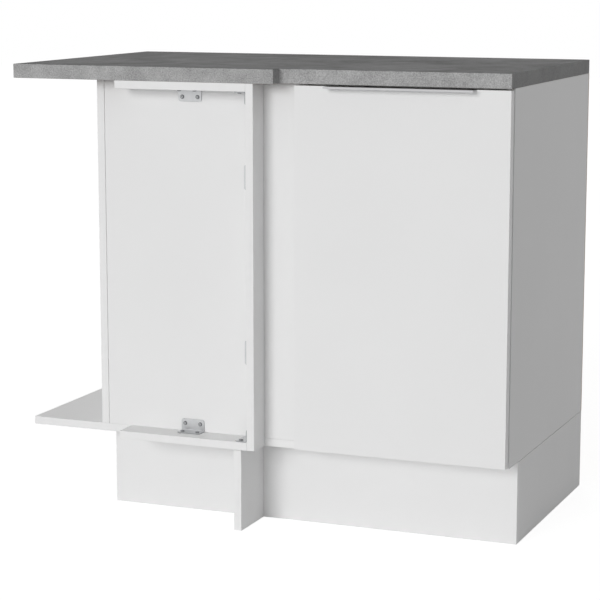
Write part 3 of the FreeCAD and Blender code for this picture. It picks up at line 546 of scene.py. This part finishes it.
def screw_places(name):
    """Each CAD screw's place, head up and head top at the origin, with its length in millimetres."""
    found = bmesh.new()
    found.from_mesh(nodes[name].data)
    bmesh.ops.remove_doubles(found, verts=found.verts, dist=HAIR * MM)
    left = set(found.verts)
    while left:
        screw = set()
        to_visit = [min(left, key=lambda vert: vert.index)]
        while to_visit:
            vert = to_visit.pop()
            screw.add(vert)
            to_visit.extend(
                other for edge in vert.link_edges for other in edge.verts if other not in screw)
        left -= screw
        low = Vector([min(vert.co[axis] for vert in screw) for axis in range(3)])
        high = Vector([max(vert.co[axis] for vert in screw) for axis in range(3)])
        size = list(high - low)
        along = size.index(max(size))
        middle = (low + high) / 2
        wide_end = max(
            (low[along], high[along]),
            key=lambda end: max(
                (vert.co - middle).length for vert in screw if abs(vert.co[along] - end) < HAIR * MM))
        head = middle.copy()
        head[along] = wide_end
        upright = (head - middle).normalized().to_track_quat("Z", "Y").to_matrix().to_4x4()
        yield Matrix.Translation(head) @ upright, max(size) / MM
    found.free()


for name in (
        "bracket_screws", "foot_screws", "plinth_screws", "worktop_screws", "handle_screws",
        "hinge_cup_screws", "hinge_plate_screws"):
    together = bmesh.new()
    for index, (screw_place, length) in enumerate(screw_places(name)):
        shape = screw_shape(length)
        bmesh.ops.transform(
            shape, matrix=screw_place @ Matrix.Rotation(GOLDEN_TURN * index, 4, "Z"), verts=shape.verts)
        single = bpy.data.meshes.new("single_screw")
        shape.to_mesh(single)
        shape.free()
        together.from_mesh(single)
        bpy.data.meshes.remove(single)
    new_piece(f"cross_head_{name}", together, [zinc, painted_shade_zinc], "zinc_steel", nodes[name]["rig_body"], name)


# Angle brackets of the corner filler: 2 mm steel strip, blanked with rounded corners, bent square and
# zinc-plated. Each is screwed with two screws through either leg.
# The sheared edges take a darker, duller zinc than the faces: partly their thinner plating, partly painted
# shade for the dark line along the edges.
edge_shade = zinc_plating("zinc_on_edge_shade", "#B2B4B6", "#A0A2A4", 0.4)

BRACKET_WIDTH = 50.0
BRACKET_LEG = 25.0
BRACKET_SHEET = 2.0
BRACKET_CORNER = 5.0
BRACKET_EASE = 0.35
BEND_RADIUS = 1.6
CORNER_STEPS = 6
BROAD_FACE = 300.0
SLANT = 0.05

# Where each bracket's bend lies in its box on each axis: 1 at the high end, -1 at the low end, 0 along it.
BEND_END = {
    "top_rail": (0, 1, 1), "bottom_rail": (0, 1, -1), "top_corner": (1, 0, 1), "bottom_corner": (1, 0, -1),
    "upper_post": (1, 1, 0), "lower_post": (1, 1, 0)}

outer_radius = BRACKET_SHEET + BEND_RADIUS
bend_angles = [math.tau / 4 * (2 + step / CORNER_STEPS) for step in range(CORNER_STEPS + 1)]
outer_bend, inner_bend = [
    [(outer_radius + radius * math.cos(angle), outer_radius + radius * math.sin(angle))
     for angle in bend_angles]
    for radius in (outer_radius, BEND_RADIUS)]
bent_strip = [
    *outer_bend, (BRACKET_LEG, 0), (BRACKET_LEG, BRACKET_SHEET), *reversed(inner_bend),
    (BRACKET_SHEET, BRACKET_LEG), (0, BRACKET_LEG)]

for place_name, ends in BEND_END.items():
    low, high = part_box(f"{place_name}_bracket")
    corner = (low + high) / 2
    legs = []
    for axis, end in enumerate(ends):
        direction = Vector((0, 0, 0))
        direction[axis] = -end if end else 1
        if end:
            corner[axis] = (high if end > 0 else low)[axis]
            legs.append(direction)
        else:
            across = direction
    shape = bmesh.new()
    strip_place = (
        Matrix.Translation(corner) @ Matrix((*legs, across)).transposed().to_4x4() @ Matrix.Scale(MM, 4)
        @ Matrix.Translation((0, 0, -BRACKET_WIDTH / 2)))
    prism(shape, bent_strip, BRACKET_WIDTH, strip_place)
    tips = [
        edge for edge in shape.edges
        if abs(edge.calc_length() - BRACKET_SHEET * MM) < HAIR * MM
        and max((vert.co - corner).length for vert in edge.verts) > BRACKET_WIDTH / 2 * MM]
    bmesh.ops.bevel(
        shape, geom=tips, offset=BRACKET_CORNER * MM, segments=CORNER_STEPS, profile=0.5, affect="EDGES")
    # Faces that are neither broad nor on the bend are the sheared edges, which take the darker zinc with
    # painted shade.
    for face in shape.faces:
        face.normal_update()
        slanted = min(abs(face.normal.dot(leg)) for leg in legs) > SLANT
        on_bend = slanted and abs(face.normal.dot(across)) < SLANT
        broad = face.calc_area() > BROAD_FACE * MM ** 2
        face.material_index = 0 if on_bend or broad else 1
    bracket = new_piece(
        f"{place_name}_angle", shape, [zinc, edge_shade], "zinc_steel", "cabinet", f"{place_name}_bracket")
    ease_edges(bracket, BRACKET_EASE)


# Plinth fittings: clips that snap round the legs and a block in the corner, injection-moulded in white
# nylon, which sets in faint streaks where it flowed. The plinth boards are screwed to them from behind.
NYLON_WHITE = "#DDDCD8"
NYLON_SHADE = "#D2D1CC"
NYLON_ROUGHNESS = (0.35, 0.5)
NYLON_FLOW = 12.0
nylon, tree, shader, place = new_finish("white_nylon", IOR=1.53, Specular_IOR_Level=0.4)
flow = add(tree, "ShaderNodeTexNoise", {"Vector": place, "Scale": 1 / (NYLON_FLOW * MM), "Detail": 3.0})
two_tone(tree, shader, flow.outputs["Fac"], NYLON_WHITE, NYLON_SHADE, NYLON_ROUGHNESS)
for name in ("plinth_clips", "plinth_corner_block"):
    dress(nodes[name], nylon)


# Cup hinges: deep-drawn cup and pressed arm and plate in nickel-plated steel, screwed to door and side.
# Nickel is a warmer grey than zinc and mirror-like, with faint drawing marks.
NICKEL_LIGHT = "#CCC8C0"
NICKEL_DARK = "#B5B0A6"
NICKEL_ROUGHNESS = (0.14, 0.3)
DRAWING_MARK = 3.0
nickel, tree, shader, place = new_finish("nickel_plated_steel", Metallic=1.0)
marks = add(tree, "ShaderNodeTexNoise", {"Vector": place, "Scale": 1 / (DRAWING_MARK * MM), "Detail": 4.0})
two_tone(tree, shader, marks.outputs["Fac"], NICKEL_LIGHT, NICKEL_DARK, NICKEL_ROUGHNESS)
for name in (
        "upper_hinge_cup", "lower_hinge_cup", "upper_hinge_arm", "lower_hinge_arm", "upper_hinge_plate",
        "lower_hinge_plate", "hinge_pins"):
    dress(nodes[name], nickel)


# Door: a 19 mm board finished like the carcass, with a recess in its top edge for the pull. Two clear
# buffers are stuck to its back to soften the closing.
dress_board("door")

# Cast polyurethane is clear and slightly milky, with a soft shine.
BUFFER_CLEAR = "#EDEFEF"
BUFFER_MILK = "#DFE2E2"
BUFFER_ROUGHNESS = (0.18, 0.34)
BUFFER_HAZE = 2.0
buffer_gel, tree, shader, place = new_finish(
    "clear_polyurethane", IOR=1.48, Transmission_Weight=0.85, Specular_IOR_Level=0.5)
haze = add(tree, "ShaderNodeTexNoise", {"Vector": place, "Scale": 1 / (BUFFER_HAZE * MM), "Detail": 2.0})
two_tone(tree, shader, haze.outputs["Fac"], BUFFER_CLEAR, BUFFER_MILK, BUFFER_ROUGHNESS)
dress(nodes["door_bumpers"], buffer_gel)


# Edge pull: an aluminium angle with a turned-down lip, extruded, brushed along its length and clear
# anodised. It is let into the door's top edge, so that only its lip stands out, and screwed on behind.
PULL_EASE = 0.6
PULL_EASE_STEPS = 3

# Anodised aluminium: a clear oxide skin, slightly milky so that it isn't a full mirror, over brush lines.
# The lines are about a tenth of a millimetre wide and are drawn at 0.6 mm so that they show.
PULL_LIGHT = "#D4D4D5"
PULL_DARK = "#C0C0C2"
PULL_ROUGHNESS = (0.26, 0.4)
BRUSH_LENGTH = 40.0
BRUSH_WIDTH = 0.6
BRUSH_DEPTH = 0.05
anodised, tree, shader, place = new_finish("anodised_aluminium", Metallic=0.9)
along_brush = 1 / (BRUSH_LENGTH * MM)
across_brush = 1 / (BRUSH_WIDTH * MM)
brushed = add(
    tree, "ShaderNodeMapping", {"Vector": place, "Scale": (along_brush, across_brush, across_brush)})
lines = add(tree, "ShaderNodeTexNoise", {"Vector": brushed.outputs["Vector"], "Scale": 1.0, "Detail": 3.0})
two_tone(tree, shader, lines.outputs["Fac"], PULL_LIGHT, PULL_DARK, PULL_ROUGHNESS)
relief = add(
    tree, "ShaderNodeBump",
    {"Height": lines.outputs["Fac"], "Strength": 0.2, "Distance": BRUSH_DEPTH * MM})
tree.links.new(relief.outputs["Normal"], shader.inputs["Normal"])

pull = nodes["handle"]
dress(pull, anodised)
low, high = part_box("handle")
section = [vert.co for vert in pull.data.vertices if vert.co.x - low.x < HAIR * MM]
pull_sides = [(low.x, high.x), {corner.y for corner in section}, {corner.z for corner in section}]
ease_edges(pull, PULL_EASE, PULL_EASE_STEPS, pull_sides)


# Worktop: a 28 mm chipboard slab under a matt printed laminate that looks like cast concrete. Strips of a
# lighter print are glued to its edges, and brown backing paper below keeps it from bending. It is screwed
# on from below, through the stretchers.
WORKTOP_EASE = 0.8

# Concrete laminate: the print's clouds, mottling, sand and pores, at the sizes that cast concrete has.
CONCRETE_CLOUD = 150.0
CONCRETE_MOTTLE = 26.0
CONCRETE_SAND = 2.5
SAND_DEPTH = 0.05
CONCRETE_PORE = 9.0
CONCRETE_SPREAD = 0.6
PORE_CORE = 0.08
PORE_EDGE = 0.16
PORE_STRENGTH = 0.55
PORES_START = 0.5
PORES_FULL = 0.62
MATT_SMOOTH = 0.6
MATT_ROUGH = 0.8


def concrete_laminate(name, light, dark, pore_colour, cloudy, sandy):
    """Concrete print: broad clouds, trowel mottling, sharp sand and a few dark pores.

    Cloudy and sandy are the weights of the clouds and of the sand, where the mottling's weight is 1.
    """
    material, tree, shader, place = new_finish(name, IOR=1.45, Specular_IOR_Level=0.05)
    cloud = add(
        tree, "ShaderNodeTexNoise",
        {"Vector": place, "Scale": 1 / (CONCRETE_CLOUD * MM), "Detail": 5.0, "Roughness": 0.6,
         "Distortion": 0.8})
    mottle = add(
        tree, "ShaderNodeTexNoise",
        {"Vector": place, "Scale": 1 / (CONCRETE_MOTTLE * MM), "Detail": 4.0, "Roughness": 0.6})
    sand = add(
        tree, "ShaderNodeTexNoise", {"Vector": place, "Scale": 1 / (CONCRETE_SAND * MM), "Detail": 3.0})
    broad = add(
        tree, "ShaderNodeMath", {0: cloud.outputs["Fac"], 1: cloudy, 2: mottle.outputs["Fac"]},
        operation="MULTIPLY_ADD")
    fine = add(
        tree, "ShaderNodeMath", {0: sand.outputs["Fac"], 1: sandy, 2: broad.outputs[0]},
        operation="MULTIPLY_ADD")
    middle = (cloudy + 1 + sandy) / 2
    spread = add(
        tree, "ShaderNodeMapRange",
        {"Value": fine.outputs[0], "From Min": middle - CONCRETE_SPREAD,
         "From Max": middle + CONCRETE_SPREAD})
    colour = add(
        tree, "ShaderNodeMix",
        {SHARE: spread.outputs["Result"], FIRST: linear(dark), SECOND: linear(light)}, data_type="RGBA")
    cells = add(tree, "ShaderNodeTexVoronoi", {"Vector": place, "Scale": 1 / (CONCRETE_PORE * MM)})
    pores = add(
        tree, "ShaderNodeMapRange",
        {"Value": cells.outputs["Distance"], "From Min": PORE_CORE, "From Max": PORE_EDGE,
         "To Min": PORE_STRENGTH, "To Max": 0.0})
    rare = add(
        tree, "ShaderNodeMapRange",
        {"Value": cloud.outputs["Fac"], "From Min": PORES_START, "From Max": PORES_FULL})
    share = add(
        tree, "ShaderNodeMath", {0: pores.outputs["Result"], 1: rare.outputs["Result"]},
        operation="MULTIPLY")
    pored = add(
        tree, "ShaderNodeMix",
        {SHARE: share.outputs[0], FIRST: colour.outputs[MIXED], SECOND: linear(pore_colour)},
        data_type="RGBA")
    matt = add(
        tree, "ShaderNodeMapRange",
        {"Value": mottle.outputs["Fac"], "To Min": MATT_SMOOTH, "To Max": MATT_ROUGH})
    relief = add(
        tree, "ShaderNodeBump",
        {"Height": sand.outputs["Fac"], "Strength": 0.15, "Distance": SAND_DEPTH * MM})
    tree.links.new(pored.outputs[MIXED], shader.inputs["Base Color"])
    tree.links.new(matt.outputs["Result"], shader.inputs["Roughness"])
    tree.links.new(relief.outputs["Normal"], shader.inputs["Normal"])
    return material


top_print = concrete_laminate("concrete_laminate_top", "#979797", "#656565", "#505050", 2.0, 0.9)
front_print = concrete_laminate("concrete_laminate_front", "#C4C4C4", "#868686", "#6C6C6C", 0.7, 2.2)
end_print = concrete_laminate("concrete_laminate_end", "#B0B0B0", "#868686", "#606060", 0.8, 1.6)

# Kraft backing paper: brown paper soaked in resin, dull, with fibres about 3 mm long.
KRAFT_LIGHT = "#5E4C3A"
KRAFT_DARK = "#4B3B2C"
KRAFT_FIBRE = 3.0
kraft, tree, shader, place = new_finish("kraft_backing_paper", Roughness=0.8, Specular_IOR_Level=0.2)
fibre = add(tree, "ShaderNodeTexNoise", {"Vector": place, "Scale": 1 / (KRAFT_FIBRE * MM), "Detail": 4.0})
two_tone(tree, shader, fibre.outputs["Fac"], KRAFT_LIGHT, KRAFT_DARK)

worktop = nodes["worktop"]
dress(worktop, top_print, front_print, end_print, kraft)
for face in worktop.data.polygons:
    if abs(face.normal.z) > FACING:
        face.material_index = 0 if face.normal.z > 0 else 3
    else:
        face.material_index = 2 if abs(face.normal.x) > FACING else 1
low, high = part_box("worktop")
outline = [vert.co for vert in worktop.data.vertices if high.z - vert.co.z < HAIR * MM]
worktop_sides = [{corner.x for corner in outline}, {corner.y for corner in outline}, (low.z, high.z)]
ease_edges(worktop, WORKTOP_EASE, sides=worktop_sides)


# Studio: a pale floor in a pale room, which fills the shadows most from the front and from above. A soft
# key stands at the front left, a faint fill at the front right, and a second key behind lights the back.
# Camera, mirror and glass rays see the floor and the room as white.
def seen_directly(tree):
    """1 for rays from the camera, off mirrors and through glass, and 0 for rays that only carry light."""
    rays = add(tree, "ShaderNodeLightPath").outputs
    seen = rays["Is Camera Ray"]
    for kind in ("Is Glossy Ray", "Is Transmission Ray"):
        seen = add(tree, "ShaderNodeMath", {0: seen, 1: rays[kind]}, operation="MAXIMUM").outputs[0]
    return seen


# The floor that is seen is mostly glow, strong enough to lift the paint's share to white as well. The paint
# takes the object's shadow.
FLOOR_WHITE = "#F2F2F2"
FLOOR_HALF = 15.0
GLOW_SHARE = 0.7
GLOW_STRENGTH = 1.27
floor_mesh = bpy.data.meshes.new("floor")
floor_mesh.from_pydata(
    [(-FLOOR_HALF, -FLOOR_HALF, 0), (FLOOR_HALF, -FLOOR_HALF, 0), (FLOOR_HALF, FLOOR_HALF, 0),
     (-FLOOR_HALF, FLOOR_HALF, 0)], [], [(0, 1, 2, 3)])
floor = bpy.data.objects.new("floor", floor_mesh)
bpy.context.scene.collection.objects.link(floor)
floor_paint, tree, shader, _ = new_finish(
    "floor_paint", Roughness=1.0, Specular_IOR_Level=0.0, Base_Color=linear(FLOOR_WHITE))
share = add(tree, "ShaderNodeMath", {0: seen_directly(tree), 1: GLOW_SHARE}, operation="MULTIPLY")
glow = add(tree, "ShaderNodeEmission", {"Color": (1, 1, 1, 1), "Strength": GLOW_STRENGTH})
mix = add(
    tree, "ShaderNodeMixShader",
    {0: share.outputs[0], 1: shader.outputs["BSDF"], 2: glow.outputs["Emission"]})
tree.links.new(mix.outputs["Shader"], tree.nodes["Material Output"].inputs["Surface"])
dress(floor, floor_paint)

ROOM_LIGHT = 0.14
ROOM_FRONT = 0.13
ROOM_ABOVE = 0.25
room = bpy.data.worlds.new("pale_room")
bpy.context.scene.world = room
room.use_nodes = True
tree = room.node_tree
tree.nodes.clear()
looking = add(tree, "ShaderNodeSeparateXYZ", {0: add(tree, "ShaderNodeTexCoord").outputs["Generated"]})
from_front = add(
    tree, "ShaderNodeMapRange",
    {"Value": looking.outputs["Y"], "From Min": -1.0, "From Max": 1.0, "To Min": ROOM_LIGHT + ROOM_FRONT,
     "To Max": ROOM_LIGHT - ROOM_FRONT})
upward = add(tree, "ShaderNodeMath", {0: looking.outputs["Z"], 1: 0.0}, operation="MAXIMUM")
filling = add(
    tree, "ShaderNodeMath", {0: upward.outputs[0], 1: ROOM_ABOVE, 2: from_front.outputs["Result"]},
    operation="MULTIPLY_ADD")
strength = add(
    tree, "ShaderNodeMapRange",
    {"Value": seen_directly(tree), "To Min": filling.outputs[0], "To Max": 1.0})
sky = add(tree, "ShaderNodeBackground", {"Color": (1, 1, 1, 1), "Strength": strength.outputs["Result"]})
add(tree, "ShaderNodeOutputWorld", {"Surface": sky.outputs["Background"]})

# Each lamp's strength, then its softness, bearing clockwise from the wall's side, and height, in degrees.
# Metal shows the white room and not the lamps.
LAMPS = {"key": (1.54, 27, 193.5, 13.5), "side_fill": (0.14, 70, 140, 12), "back_key": (1.6, 24, 335, 7)}
for name, (energy, softness, bearing, height) in LAMPS.items():
    lamp = bpy.data.lights.new(name, "SUN")
    lamp.energy = energy
    lamp.angle = math.radians(softness)
    lamp_object = bpy.data.objects.new(name, lamp)
    bpy.context.scene.collection.objects.link(lamp_object)
    lamp_object.visible_glossy = False
    level = math.cos(math.radians(height))
    towards = Vector((
        math.sin(math.radians(bearing)) * level, math.cos(math.radians(bearing)) * level,
        math.sin(math.radians(height))))
    lamp_object.rotation_euler = towards.to_track_quat("Z", "Y").to_euler()

# The camera stands at the front right, a little above the worktop, and looks down on the cabinet.
CAMERA_PLACE = (1.5506, -3.8463, 1.1173)
CAMERA_DOWN = 9.562
CAMERA_LEFT = 22.158
CAMERA_LENS = 121.25
camera_data = bpy.data.cameras.new("camera")
camera_data.lens = CAMERA_LENS
camera = bpy.data.objects.new("camera", camera_data)
bpy.context.scene.collection.objects.link(camera)
camera.location = CAMERA_PLACE
camera.rotation_euler = (math.radians(90 - CAMERA_DOWN), 0, math.radians(CAMERA_LEFT))
bpy.context.scene.camera = camera
bpy.context.scene.view_settings.view_transform = "Standard"
